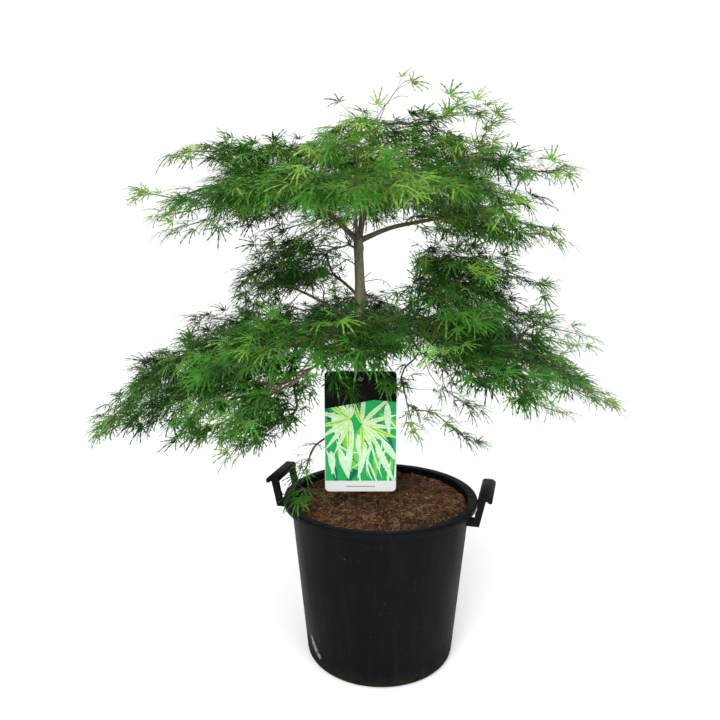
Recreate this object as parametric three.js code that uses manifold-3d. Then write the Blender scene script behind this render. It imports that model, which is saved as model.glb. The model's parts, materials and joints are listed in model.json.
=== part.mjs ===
// A laceleaf maple in a black nursery pot with two carrying handles.
// Millimetres, +Z up. The origin is the centre of the pot's flat underside and -Y is the front.

import * as THREE from 'three';
import { mergeVertices } from 'three/addons/utils/BufferGeometryUtils.js';
import Module from 'manifold-3d';

const wasm = await Module();
wasm.setup();

// Driving dimensions

const gap = 0.3; // clearance between neighbouring solids
const roundSteps = 28; // facets around the pot and the soil

const pot = {
  height: 350,
  rimRadius: 205,
  wallTopRadius: 188.5,
  baseRadius: 158,
  cornerRadius: 14,
  wall: 3,
  rimDepth: 12,
  rimRounding: 2,
};
const drain = { count: 8, radius: 7.5, length: 34, firstAngle: 72 };
const handle = {
  angles: { handle_left: 165, handle_right: -15 },
  width: 110,
  legWidth: 12,
  rise: 36,
  gripThick: 10,
  gripReach: 28,
  legTop: 14,
  bracketDrop: 28,
  bracketReach: 9,
};
const soil = { surface: 333, edgeDrop: 6, edgeWidth: 30 };
const label = { width: 142, height: 246, thick: 1.2, corner: 9, hole: 5, strap: 1.4, foot: [-42, -80, 387] };
const trunk = { foot: [-40, 90], forkHeight: 888, baseRadius: 15, topRadius: 9.5, flare: 12 };

const smallMass = 80; // half a mass's length, up to which a coarser ball will do
const centreX = trunk.foot[0] - 5; // the crown's axis stands over the trunk's lean

// Materials

const black = () => new THREE.MeshStandardMaterial({ color: 0x1b1d20, roughness: 0.45 });
const earth = () => new THREE.MeshStandardMaterial({ color: 0x5a3524, roughness: 0.95 });
const bark = () => new THREE.MeshStandardMaterial({ color: 0x5b5344, roughness: 0.85 });
const leaf = (tone) => new THREE.MeshStandardMaterial({ color: tone, roughness: 0.7 });
const card = () => new THREE.MeshStandardMaterial({ color: 0x7fbf6a, roughness: 0.35 });
const strap = () => new THREE.MeshStandardMaterial({ color: 0x2fb7a6, roughness: 0.4 });

// Joining and cutting

function mergedPositions(geometry) {
  const bare = geometry.index ? geometry.toNonIndexed() : geometry.clone();
  bare.deleteAttribute('normal');
  bare.deleteAttribute('uv');
  return mergeVertices(bare, 1e-4);
}

function solidOf(geometry) {
  const merged = mergedPositions(geometry);
  const vertProperties = new Float32Array(merged.attributes.position.array);
  const triVerts = new Uint32Array(merged.index.array);
  return new wasm.Manifold(new wasm.Mesh({ numProp: 3, vertProperties, triVerts }));
}

function geometryOf(solid) {
  const mesh = solid.getMesh();
  const geometry = new THREE.BufferGeometry();
  geometry.setAttribute('position', new THREE.BufferAttribute(mesh.vertProperties, 3));
  geometry.setIndex(new THREE.BufferAttribute(mesh.triVerts, 1));
  geometry.computeVertexNormals();
  return geometry;
}

function cutBy(solid, cutters) {
  return cutters.reduce((rest, cutter) => rest.subtract(cutter), solid).simplify(gap / 3);
}

function largestPiece(solid) {
  return solid.decompose().reduce((best, piece) => (piece.volume() > best.volume() ? piece : best));
}

// Moves every vertex outwards along its normal
function grown(geometry, amount) {
  const wider = mergedPositions(geometry);
  wider.computeVertexNormals();
  const { position, normal } = wider.attributes;
  for (let i = 0; i < position.count; i += 1) {
    const moved = new THREE.Vector3().fromBufferAttribute(position, i);
    moved.addScaledVector(new THREE.Vector3().fromBufferAttribute(normal, i), amount);
    position.setXYZ(i, moved.x, moved.y, moved.z);
  }
  return wider;
}

// Round pieces: a closed profile of [radius, height] turned about Z

function turned(profile) {
  const points = profile.map(([radius, height]) => new THREE.Vector2(radius, height));
  return new THREE.LatheGeometry(points, roundSteps).rotateX(Math.PI / 2);
}

function cornerArc(radius, height, size, steps) {
  const arc = [];
  for (let i = 0; i <= steps; i += 1) {
    const angle = (i / steps) * (Math.PI / 2);
    arc.push([radius - size + size * Math.sin(angle), height + size - size * Math.cos(angle)]);
  }
  return arc;
}

// Inner radius of the pot's tapering wall at a height
function innerRadius(height) {
  const rise = (height - pot.cornerRadius) / (pot.height - pot.rimDepth - pot.cornerRadius);
  return THREE.MathUtils.lerp(pot.baseRadius, pot.wallTopRadius, rise) - pot.wall;
}

function potShell() {
  const { height, rimRadius, rimRounding, wall } = pot;
  const rimUnderside = height - pot.rimDepth;
  const topInner = innerRadius(height);
  const profile = [
    [0, 0],
    ...cornerArc(pot.baseRadius, 0, pot.cornerRadius, 3),
    [pot.wallTopRadius, rimUnderside],
    [rimRadius - rimRounding, rimUnderside],
    [rimRadius, rimUnderside + rimRounding],
    [rimRadius, height - rimRounding],
    [rimRadius - rimRounding, height],
    [topInner + rimRounding, height],
    [topInner, height - rimRounding],
    ...cornerArc(pot.baseRadius - wall, wall, pot.cornerRadius - wall, 2).reverse(),
    [0, wall],
  ];
  const middle = pot.cornerRadius / 2;
  const holes = [];
  for (let i = 0; i < drain.count; i += 1) {
    const hole = new THREE.CylinderGeometry(drain.radius, drain.radius, drain.length, 6);
    hole.rotateZ(Math.PI / 4).translate(pot.baseRadius - middle, 0, 0).rotateX(Math.PI / 2);
    hole.translate(0, 0, middle);
    hole.rotateZ(THREE.MathUtils.degToRad(drain.firstAngle + (i * 360) / drain.count));
    holes.push(solidOf(hole));
  }
  return cutBy(solidOf(turned(profile)), holes);
}

function soilBody() {
  const bottom = pot.wall + gap;
  const edge = soil.surface - soil.edgeDrop;
  const edgeRadius = innerRadius(edge) - gap;
  return solidOf(turned([
    [0, bottom],
    ...cornerArc(pot.baseRadius - pot.wall - gap, bottom, pot.cornerRadius - pot.wall, 2),
    [edgeRadius, edge],
    [edgeRadius - soil.edgeWidth / 3, edge + soil.edgeDrop * 0.7],
    [edgeRadius - soil.edgeWidth, soil.surface],
    [0, soil.surface],
  ]));
}

// One handle: two bracket legs that lean out from the rim, and a flat grip across them

function outlineSolid(outline, depth) {
  const shape = new THREE.Shape(outline.map(([x, y]) => new THREE.Vector2(x, y)));
  const geometry = new THREE.ExtrudeGeometry(shape, { depth, bevelEnabled: false });
  return geometry.translate(0, 0, -depth / 2);
}

function handleBody(angle) {
  const top = pot.height + handle.rise;
  const underside = top - handle.gripThick;
  const rimUnderside = pot.height - pot.rimDepth;
  const toe = pot.height - handle.bracketDrop;
  const rimFace = pot.rimRadius + gap;
  const gripInner = rimFace + 5;
  const gripOuter = gripInner + handle.gripReach;
  const leg = [
    [innerRadius(toe) + pot.wall + gap, toe],
    [innerRadius(rimUnderside) + pot.wall + gap, rimUnderside - gap],
    [rimFace, rimUnderside - gap],
    [rimFace, pot.height - pot.rimRounding],
    [rimFace + 3, pot.height + 4],
    [gripInner + 2, underside + 1],
    [gripInner + 2 + handle.legTop, underside + 1],
    [rimFace + handle.bracketReach, toe],
  ];
  const grip = [
    [gripInner, underside],
    [gripInner, top - 4],
    [gripInner + 4, top],
    [gripOuter - 6, top],
    [gripOuter, top - 5],
    [gripOuter, underside - 3],
    [gripOuter - 6, underside - 4],
    [gripOuter - 10, underside],
  ];
  const side = (handle.width - handle.legWidth) / 2;
  const legs = [-side, side].map((offset) => {
    const plate = outlineSolid(leg, handle.legWidth).translate(0, 0, offset);
    return solidOf(plate);
  });
  const bar = solidOf(outlineSolid(grip, handle.width));
  const upright = [...legs, bar].map((piece) => geometryOf(piece).rotateX(Math.PI / 2));
  const placed = upright.map((piece) => solidOf(piece.rotateZ(THREE.MathUtils.degToRad(angle))));
  return placed.reduce((whole, piece) => whole.add(piece));
}

// Limbs: a closed cylinder bent along a curve, with its radius set at each point

function limbGeometry(points, radiusAt, sides, steps) {
  const path = new THREE.CatmullRomCurve3(points.map((point) => new THREE.Vector3(...point)));
  const frames = path.computeFrenetFrames(steps);
  const geometry = new THREE.CylinderGeometry(1, 1, 1, sides, steps).rotateX(Math.PI / 2);
  const { position } = geometry.attributes;
  for (let i = 0; i < position.count; i += 1) {
    const step = Math.round((position.getZ(i) + 0.5) * steps);
    const along = step / steps;
    const angle = Math.atan2(position.getY(i), position.getX(i));
    const reach = Math.hypot(position.getX(i), position.getY(i)) * radiusAt(along, angle);
    const place = path.getPointAt(along);
    place.addScaledVector(frames.normals[step], reach * Math.cos(angle));
    place.addScaledVector(frames.binormals[step], reach * Math.sin(angle));
    position.setXYZ(i, place.x, place.y, step === 0 ? points[0][2] : place.z);
  }
  return geometry;
}

// The trunk leans forwards out of the soil, stands upright from 650 mm and tapers to its fork.
// It flares into three low ridges at the soil
function trunkGeometry() {
  const [x, y] = trunk.foot;
  const base = soil.surface + gap;
  const route = [
    [x, y, base],
    [x, y, base + 30],
    [x - 2, y - 28, 450],
    [x - 4, y - 66, 560],
    [x - 3, y - 88, 645],
    [x - 3, y - 91, 710],
    [x - 3, y - 88, 780],
    [x - 7, y - 90, trunk.forkHeight],
  ];
  const radiusAt = (along, angle) => {
    const flare = trunk.flare * Math.exp(-along * 16) * (1 + 0.35 * Math.cos(3 * angle));
    return THREE.MathUtils.lerp(trunk.baseRadius, trunk.topRadius, along ** 0.8) + flare;
  };
  return limbGeometry(route, radiusAt, 10, 14);
}

// Boughs: name, start and end radius, and the route from inside the trunk to the foliage
const fork = [centreX - 1, 0, trunk.forkHeight - 6];
const boughs = [
  ['bough_leader', 6.5, 4.5, [fork, [centreX + 8, 2, 930], [centreX + 12, 4, 1010]]],
  ['bough_upper_right', 5.5, 3.5, [fork, [20, -6, 908], [100, -8, 924], [230, 0, 950]]],
  ['bough_upper_left', 5.5, 3.5, [fork, [-108, 4, 935], [-190, 6, 975], [-260, 6, 990]]],
  ['bough_upper_front', 4.5, 3, [fork, [-52, -50, 925], [-48, -120, 965], [-44, -190, 985]]],
  ['bough_upper_back', 5, 3.5, [fork, [-40, 55, 930], [-36, 130, 970], [-34, 210, 985]]],
  ['bough_middle_right', 4.5, 3, [[-43, 0, 700], [20, 4, 728], [90, 4, 770], [170, 0, 812]]],
  ['bough_middle_left', 4.5, 3, [[-43, 0, 715], [-90, 6, 742], [-150, 8, 775], [-210, 6, 800]]],
  ['bough_middle_back', 4.5, 3, [[-43, 0, 705], [-44, 60, 740], [-46, 130, 785], [-40, 200, 812]]],
  ['bough_low_left', 6.5, 4.5, [[-43, 0, 648], [-110, -10, 668], [-190, -16, 672], [-290, -14, 650]]],
  ['bough_low_right', 6, 4, [[-43, 0, 655], [20, -4, 690], [110, -10, 700], [210, -14, 680]]],
  ['bough_low_front', 4.5, 3, [[-43, 0, 690], [-50, -50, 712], [-70, -110, 715], [-90, -190, 690]]],
  ['bough_low_back', 5, 3.5, [[-43, 0, 665], [-36, 60, 695], [-40, 140, 705], [-50, 230, 680]]],
  ['bough_low_spray', 4, 2.5, [[-42, 60, 452], [-90, 24, 476], [-134, -58, 474], [-154, -118, 445]]],
];

function boughGeometry([, startRadius, endRadius, route]) {
  const radiusAt = (along) => THREE.MathUtils.lerp(startRadius, endRadius, along);
  return limbGeometry(route, radiusAt, 6, 5);
}

// Foliage

const deepGreen = 0x2f6b1c;
const midGreen = 0x3f8a24;
const freshGreen = 0x6aa832;

// Rounded heads of the crown: centre, half sizes, and the lean of the upper side along X
const heads = [
  { name: 'foliage_top', centre: [-25, 10, 1042], size: [148, 150, 86], tone: midGreen },
  { name: 'foliage_shoot', centre: [26, 0, 1146], size: [22, 22, 52], lean: 12, tone: freshGreen },
  { name: 'foliage_top_right', centre: [145, 15, 1058], size: [106, 118, 90], tone: freshGreen },
  { name: 'foliage_top_left', centre: [-222, 20, 1004], size: [150, 125, 66], tone: freshGreen },
  { name: 'foliage_low_spray', centre: [-136, -142, 416], size: [56, 52, 40], tone: freshGreen },
];

// Arching pads set round the trunk: direction and half spread in degrees, then the inner and
// outer ends as [distance from the trunk, height], the rise of the arch and the half thickness
const pads = [
  ['foliage_upper_left', 180, 21, [110, 965], [460, 950], 26, 42, midGreen],
  ['foliage_upper_left_front', 222, 20, [90, 980], [430, 935], 34, 44, midGreen],
  ['foliage_upper_front', 266, 23, [70, 985], [430, 940], 36, 42, midGreen],
  ['foliage_upper_right_front', 314, 22, [80, 985], [430, 935], 34, 42, freshGreen],
  ['foliage_upper_right', 2, 20, [130, 985], [428, 1005], 10, 32, freshGreen],
  ['foliage_upper_right_back', 44, 22, [90, 985], [470, 930], 36, 46, midGreen],
  ['foliage_upper_back', 90, 22, [80, 985], [480, 925], 40, 46, midGreen],
  ['foliage_upper_left_back', 136, 22, [90, 985], [480, 930], 36, 46, midGreen],
  ['foliage_right_tip', 358, 19, [100, 893], [432, 900], 12, 32, midGreen],
  ['foliage_fork_left', 178, 30, [16, 885], [245, 848], 12, 34, midGreen],
  ['foliage_middle_right', 0, 26, [80, 800], [402, 775], 30, 58, midGreen],
  ['foliage_middle_right_front', 318, 17, [110, 790], [350, 730], 30, 50, deepGreen],
  ['foliage_middle_left', 184, 30, [40, 800], [270, 750], 18, 54, midGreen],
  ['foliage_middle_left_back', 128, 22, [80, 820], [440, 770], 34, 52, deepGreen],
  ['foliage_middle_right_back', 42, 20, [100, 820], [440, 780], 34, 52, deepGreen],
  ['foliage_lower_left', 180, 21, [110, 680], [570, 478], 52, 60, midGreen],
  ['foliage_lower_left_front', 224, 20, [110, 680], [430, 545], 60, 56, freshGreen],
  ['foliage_lower_left_back', 137, 21, [110, 690], [560, 510], 80, 62, deepGreen],
  ['foliage_lower_back', 92, 21, [100, 710], [560, 565], 74, 56, deepGreen],
  ['foliage_lower_right_back', 47, 22, [100, 700], [545, 550], 74, 60, deepGreen],
  ['foliage_lower_right', 2, 20, [130, 700], [480, 590], 46, 66, midGreen],
  ['foliage_lower_right_front', 320, 19, [120, 710], [430, 610], 50, 52, midGreen],
  ['foliage_lower_front', 264, 26, [70, 730], [335, 695], 20, 44, midGreen],
  ['foliage_low_left', 196, 26, [70, 590], [290, 500], 20, 44, midGreen],
  ['foliage_low_right', 328, 20, [95, 630], [235, 552], 12, 26, freshGreen],
  ['foliage_right_drop', 8, 6, [420, 575], [574, 524], 14, 22, freshGreen],
];

// Uneven swelling of a unit ball at the point (a, b, c)
function swelling(a, b, c, seed) {
  const broad = Math.sin(4 * a + seed) * Math.cos(5 * b - 2 * seed);
  const fine = Math.sin(9 * b + 3 * seed + 4 * a) * Math.cos(8 * a - seed + 3 * c);
  return 1 + 0.09 * broad + 0.07 * fine;
}

function shapedBall(detail, placeOf) {
  const ball = mergedPositions(new THREE.IcosahedronGeometry(1, detail));
  const { position } = ball.attributes;
  for (let i = 0; i < position.count; i += 1) {
    const place = placeOf(position.getX(i), position.getY(i), position.getZ(i));
    position.setXYZ(i, ...place);
  }
  return ball;
}

function headGeometry({ centre, size, lean = 0 }, seed) {
  const detail = size[0] > smallMass ? 2 : 1;
  return shapedBall(detail, (a, b, c) => {
    const swell = swelling(a, b, c, seed);
    return [
      centre[0] + a * size[0] * swell + lean * c,
      centre[1] + b * size[1] * swell,
      centre[2] + c * size[2] * swell,
    ];
  });
}

// The ball's a runs from the inner to the outer end, b across the spread and c up
function padGeometry([, azimuth, spread, inner, outer, arch, thickness], seed) {
  const detail = outer[0] - inner[0] > 2 * smallMass ? 2 : 1;
  return shapedBall(detail, (a, b, c) => {
    const swell = swelling(a, b, c, seed);
    const along = 0.5 + 0.5 * a;
    const distance = THREE.MathUtils.lerp(inner[0], outer[0], along) * (1 + 0.12 * (swell - 1));
    const angle = THREE.MathUtils.degToRad(azimuth + b * spread * swell);
    const rise = arch * 4 * along * (1 - along) - 0.5 * arch * b * b;
    return [
      centreX + distance * Math.cos(angle),
      distance * Math.sin(angle),
      THREE.MathUtils.lerp(inner[1], outer[1], along) + rise + c * thickness * swell,
    ];
  });
}

// The hanging label: a card with rounded corners and a punched hole, on a strap

function labelCard() {
  const { width, height, corner, hole, thick } = label;
  const half = width / 2;
  const outline = new THREE.Shape();
  outline.moveTo(-half + corner, 0);
  outline.lineTo(half - corner, 0);
  outline.absarc(half - corner, corner, corner, -Math.PI / 2, 0);
  outline.lineTo(half, height - 3 * corner);
  outline.lineTo(half - 3 * corner, height);
  outline.lineTo(-half + 3 * corner, height);
  outline.lineTo(-half, height - 3 * corner);
  outline.lineTo(-half, corner);
  outline.absarc(-half + corner, corner, corner, Math.PI, Math.PI * 1.5);
  const punch = new THREE.Path();
  punch.absarc(0, height - 3 * hole, hole, 0, Math.PI * 2);
  outline.holes.push(punch);
  const settings = { depth: thick, bevelEnabled: false, curveSegments: 3 };
  return new THREE.ExtrudeGeometry(outline, settings).rotateX(Math.PI / 2).translate(...label.foot);
}

// The strap runs through the card's hole and up behind it to the low front bough
function labelStrap() {
  const [x, y, z] = label.foot;
  const hole = z + label.height - 3 * label.hole;
  const route = [
    [x, y - 5, hole],
    [x, y + 4, hole + 1],
    [x - 4, y + 9, hole + 30],
    [x - 15, y + 8, hole + 92],
  ];
  return limbGeometry(route, () => label.strap, 5, 6);
}

// Assembly

const potted = new THREE.Group();

function addPiece(name, geometry, material) {
  const piece = new THREE.Mesh(geometry, material);
  piece.name = name;
  potted.add(piece);
}

addPiece('pot', geometryOf(potShell()), black());
for (const [name, angle] of Object.entries(handle.angles)) {
  addPiece(name, geometryOf(handleBody(angle)), black());
}
addPiece('soil', geometryOf(soilBody()), earth());

const trunkShape = trunkGeometry();
const cutters = [solidOf(grown(trunkShape, gap))];
addPiece('trunk', trunkShape, bark());

const masses = [
  ...heads.map((head, index) => [head.name, headGeometry(head, index), head.tone]),
  ...pads.map((pad, index) => [pad[0], padGeometry(pad, index + heads.length), pad.at(-1)]),
];
for (const [name, geometry, tone] of masses) {
  addPiece(name, geometryOf(largestPiece(cutBy(solidOf(geometry), cutters))), leaf(tone));
  cutters.push(solidOf(grown(geometry, gap)));
}

for (const bough of boughs) {
  const geometry = boughGeometry(bough);
  addPiece(bough[0], geometryOf(largestPiece(cutBy(solidOf(geometry), cutters))), bark());
  cutters.push(solidOf(grown(geometry, gap)));
}

addPiece('label', labelCard(), card());
addPiece('label_strap', geometryOf(largestPiece(cutBy(solidOf(labelStrap()), cutters))), strap());

export default potted;
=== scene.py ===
import json
import math

import bpy
import numpy as np
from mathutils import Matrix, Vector
from mathutils.bvhtree import BVHTree

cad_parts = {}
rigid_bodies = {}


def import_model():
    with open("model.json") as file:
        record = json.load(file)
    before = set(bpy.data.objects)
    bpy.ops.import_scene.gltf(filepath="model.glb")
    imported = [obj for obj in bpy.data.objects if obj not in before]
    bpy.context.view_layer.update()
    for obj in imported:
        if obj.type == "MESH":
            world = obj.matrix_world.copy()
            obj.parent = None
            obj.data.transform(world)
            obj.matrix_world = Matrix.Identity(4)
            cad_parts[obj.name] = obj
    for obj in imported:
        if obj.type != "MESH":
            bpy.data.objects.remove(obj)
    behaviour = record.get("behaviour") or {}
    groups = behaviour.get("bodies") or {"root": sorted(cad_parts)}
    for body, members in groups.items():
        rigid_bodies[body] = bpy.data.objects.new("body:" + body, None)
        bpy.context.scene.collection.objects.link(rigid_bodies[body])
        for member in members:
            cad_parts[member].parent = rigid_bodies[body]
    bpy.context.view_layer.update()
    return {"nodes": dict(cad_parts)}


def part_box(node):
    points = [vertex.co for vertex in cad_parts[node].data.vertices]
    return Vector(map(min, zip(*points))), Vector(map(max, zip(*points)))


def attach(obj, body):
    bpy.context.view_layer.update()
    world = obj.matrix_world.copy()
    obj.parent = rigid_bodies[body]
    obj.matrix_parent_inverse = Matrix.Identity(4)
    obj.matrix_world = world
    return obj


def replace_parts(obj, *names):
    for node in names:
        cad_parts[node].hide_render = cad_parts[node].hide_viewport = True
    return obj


# A laceleaf maple in a black nursery pot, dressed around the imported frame.
# Metres, +Z up. The pot's underside is centred on the origin and -Y is the front.

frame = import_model()
nodes = frame["nodes"]
up = np.array([0.0, 0.0, 1.0])

camera = {
    "place": (-0.0431, -1.3587, 0.8755),
    "tilt": 80.18,
    "lens": 33.45,
}
lights = {
    "sky": 1.06,
    "target": (0, 0, 0.7),
    "key": {"place": (-0.9, -2.6, 1.9), "size": 1.6, "power": 90},
    "fill": {"place": (1.4, -2.2, 1.0), "size": 1.6, "power": 36},
}


def addObject(name, data):
    thing = bpy.data.objects.new(name, data)
    bpy.context.collection.objects.link(thing)
    return thing


def addArea(name, place, size, power):
    data = bpy.data.lights.new(name, "AREA")
    data.size = size
    data.energy = power
    lamp = addObject(name, data)
    lamp.location = place
    aim = Vector(lights["target"]) - Vector(place)
    lamp.rotation_euler = aim.to_track_quat("-Z", "Y").to_euler()


def addStudio():
    data = bpy.data.cameras.new("view")
    data.lens = camera["lens"]
    viewer = addObject("view", data)
    viewer.location = camera["place"]
    viewer.rotation_euler = (math.radians(camera["tilt"]), 0, 0)
    scene = bpy.context.scene
    scene.camera = viewer
    scene.view_settings.view_transform = "Standard"
    scene.world = bpy.data.worlds.new("studio")
    scene.world.use_nodes = True
    sky = scene.world.node_tree.nodes["Background"].inputs
    sky["Color"].default_value = (1, 1, 1, 1)
    sky["Strength"].default_value = lights["sky"]
    for name in ("key", "fill"):
        addArea(name, **lights[name])


# Meshes from arrays


def meshPiece(name, points, corners, sizes, material, slot, smooth=True):
    mesh = bpy.data.meshes.new(name)
    points = np.ascontiguousarray(points, dtype=np.float32).reshape(-1, 3)
    corners = np.ascontiguousarray(corners, dtype=np.int32).ravel()
    sizes = np.ascontiguousarray(sizes, dtype=np.int32).ravel()
    mesh.vertices.add(len(points))
    mesh.vertices.foreach_set("co", points.ravel())
    mesh.loops.add(len(corners))
    mesh.loops.foreach_set("vertex_index", corners)
    mesh.polygons.add(len(sizes))
    starts = np.concatenate([[0], np.cumsum(sizes)[:-1]]).astype(np.int32)
    mesh.polygons.foreach_set("loop_start", starts)
    mesh.polygons.foreach_set("use_smooth", np.full(len(sizes), smooth))
    mesh.update(calc_edges=True)
    mesh.materials.append(material)
    piece = addObject(name, mesh)
    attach(piece, "root")
    return piece


def unit(vectors):
    return vectors / np.maximum(np.linalg.norm(vectors, axis=-1, keepdims=True), 1e-9)


# Quads of a rows x columns grid, whose columns may close into a ring
def gridQuads(rows, columns, ring=True):
    below = np.arange(rows - 1)[:, None] * columns
    left = np.arange(columns if ring else columns - 1)[None, :]
    above, right = below + columns, (left + 1) % columns
    quads = np.stack([below + left, below + right, above + right, above + left], axis=-1)
    return quads.reshape(-1, 4)


# Cubic Hermite curve from a to b with slopes ma and mb, at the share t of the way
def hermite(a, b, ma, mb, t):
    return ((2 * t**3 - 3 * t**2 + 1) * a + (t**3 - 2 * t**2 + t) * ma
            + (3 * t**2 - 2 * t**3) * b + (t**3 - t**2) * mb)


# Smooth route through control points: cubic Hermite spans with Catmull-Rom slopes
def smoothRoute(controls, steps):
    p = np.asarray(controls, dtype=float)
    slopes = np.gradient(p, axis=0)
    spans = np.minimum(np.linspace(0, 1, steps) * (len(p) - 1), len(p) - 1 - 1e-9)
    k = spans.astype(int)
    return hermite(p[k], p[k + 1], slopes[k], slopes[k + 1], (spans - k)[:, None])


# Side and rise vectors that travel along a route without twisting
def travellingFrame(route):
    tangents = unit(np.gradient(route, axis=0))
    sides = [unit(np.cross(tangents[0], (0.0, 1.0, 0.0)))]
    for tangent in tangents[1:]:
        sides.append(unit(sides[-1] - tangent * (sides[-1] @ tangent)))
    sides = np.array(sides)
    return sides, np.cross(tangents, sides)


# Corners and sizes of the faces of a closed tube: quads between its rings, and a cap at each end
def cappedFaces(rings, sides):
    quads = gridQuads(rings, sides)
    caps = np.stack([np.arange(sides)[::-1], np.arange(sides) + (rings - 1) * sides])
    corners = np.concatenate([quads.ravel(), caps.ravel()])
    return corners, np.concatenate([np.full(len(quads), 4), np.full(2, sides)])


# A ring of points round each step of a route: centre + radius(step, turn) * (side cos + rise sin),
# closed with a flat cap at each end
def sweptTube(route, radii):
    sides, rises = travellingFrame(route)
    steps, turns = radii.shape
    turn = np.linspace(0, 2 * math.pi, turns, endpoint=False)[None, :, None]
    spokes = sides[:, None] * np.cos(turn) + rises[:, None] * np.sin(turn)
    rings = route[:, None] + radii[..., None] * spokes
    return rings.reshape(-1, 3), *cappedFaces(steps, turns)


# Joins (points, corners, sizes) shapes into one
def joined(shapes):
    offsets = np.cumsum([0] + [len(s[0]) for s in shapes[:-1]])
    points = np.concatenate([s[0] for s in shapes])
    corners = np.concatenate([np.asarray(s[1]).ravel() + o for s, o in zip(shapes, offsets)])
    return points, corners, np.concatenate([s[2] for s in shapes])


# Smooth repeatable noise: a sum of sine waves in seeded directions
def waveNoise(points, scale, seed, waves=7):
    rng = np.random.default_rng(seed)
    directions = rng.normal(size=(waves, points.shape[-1])) * scale
    phases = rng.uniform(0, 2 * math.pi, waves)
    return np.sin(points @ directions.T + phases).mean(axis=-1) * 1.8


# Shader groups and materials


# A group with number inputs, the object's own coordinates and a mask as its one output
def groupOf(name, **inputs):
    group = bpy.data.node_groups.new(name, "ShaderNodeTree")
    for label, value in inputs.items():
        socket = group.interface.new_socket(
            name=label, in_out="INPUT", socket_type="NodeSocketFloat")
        socket.default_value = value
    group.interface.new_socket(name="Mask", in_out="OUTPUT", socket_type="NodeSocketFloat")
    coords = group.nodes.new("ShaderNodeTexCoord")
    return group, group.nodes.new("NodeGroupInput"), coords, group.nodes.new("NodeGroupOutput")


# Adds a node with its settings and its sockets' values; a number's place is given as _0, _1
def addNode(tree, kind, settings=None, **values):
    node = tree.nodes.new("ShaderNode" + kind)
    for key, value in (settings or {}).items():
        setattr(node, key, value)
    for key, value in values.items():
        key = int(key[1:]) if key[0] == "_" else key.replace("_", " ")
        node.inputs[key].default_value = value
    return node


# Joins rows of (from node, its output, to node, its input)
def wire(tree, *rows):
    for source, output, target, entry in rows:
        tree.links.new(source.outputs[output], target.inputs[entry])


# Mottle: two octaves of noise on the object's own coordinates, cut to a mask between two edges
def makeMottleGroup():
    group, entry, coords, leave = groupOf("mottle", Scale=10.0, Stretch=1.0, Low=0.4, High=0.6)
    stretch = addNode(group, "CombineXYZ", X=1.0, Y=1.0)
    mapped = addNode(group, "Mapping")
    noise = addNode(group, "TexNoise", Detail=4.0, Roughness=0.6)
    spread = addNode(group, "MapRange")
    wire(group, (coords, "Object", mapped, "Vector"), (entry, "Stretch", stretch, "Z"),
         (stretch, "Vector", mapped, "Scale"), (mapped, "Vector", noise, "Vector"),
         (entry, "Scale", noise, "Scale"), (noise, "Fac", spread, "Value"),
         (entry, "Low", spread, "From Min"), (entry, "High", spread, "From Max"),
         (spread, "Result", leave, "Mask"))
    return group


# Height band: 1 at Low and 0 at High, roughened by noise
def makeBandGroup():
    group, entry, coords, leave = groupOf("heightBand", Low=0.0, High=0.1, Rough=0.05)
    parts = addNode(group, "SeparateXYZ")
    noise = addNode(group, "TexNoise", Scale=28.0, Detail=5.0)
    centred = addNode(group, "Math", {"operation": "SUBTRACT"}, _1=0.5)
    swing = addNode(group, "Math", {"operation": "MULTIPLY"})
    height = addNode(group, "Math", {"operation": "ADD"})
    band = addNode(group, "MapRange", To_Min=1.0, To_Max=0.0)
    wire(group, (coords, "Object", parts, "Vector"), (coords, "Object", noise, "Vector"),
         (noise, "Fac", centred, 0), (centred, 0, swing, 0), (entry, "Rough", swing, 1),
         (parts, "Z", height, 0), (swing, 0, height, 1), (height, 0, band, "Value"),
         (entry, "Low", band, "From Min"), (entry, "High", band, "From Max"),
         (band, "Result", leave, "Mask"))
    return group


# Patch: 1 at the point (X, Y, Z) and 0 at Reach from it, broken up by noise
def makePatchGroup():
    group, entry, coords, leave = groupOf("patch", X=0.0, Y=0.0, Z=0.0, Reach=0.01)
    centre = addNode(group, "CombineXYZ")
    distance = addNode(group, "VectorMath", {"operation": "DISTANCE"})
    share = addNode(group, "Math", {"operation": "DIVIDE"})
    noise = addNode(group, "TexNoise", Scale=260.0, Detail=5.0)
    total = addNode(group, "Math", {"operation": "ADD"})
    edge = addNode(group, "MapRange", From_Min=1.20, From_Max=0.80)
    wire(group, *[(entry, axis, centre, axis) for axis in "XYZ"],
         (coords, "Object", distance, 0), (centre, "Vector", distance, 1),
         (distance, "Value", share, 0), (entry, "Reach", share, 1),
         (coords, "Object", noise, "Vector"), (share, 0, total, 0), (noise, "Fac", total, 1),
         (total, 0, edge, "Value"), (edge, "Result", leave, "Mask"))
    return group


groups = {"mottle": makeMottleGroup(), "heightBand": makeBandGroup(), "patch": makePatchGroup()}


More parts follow.
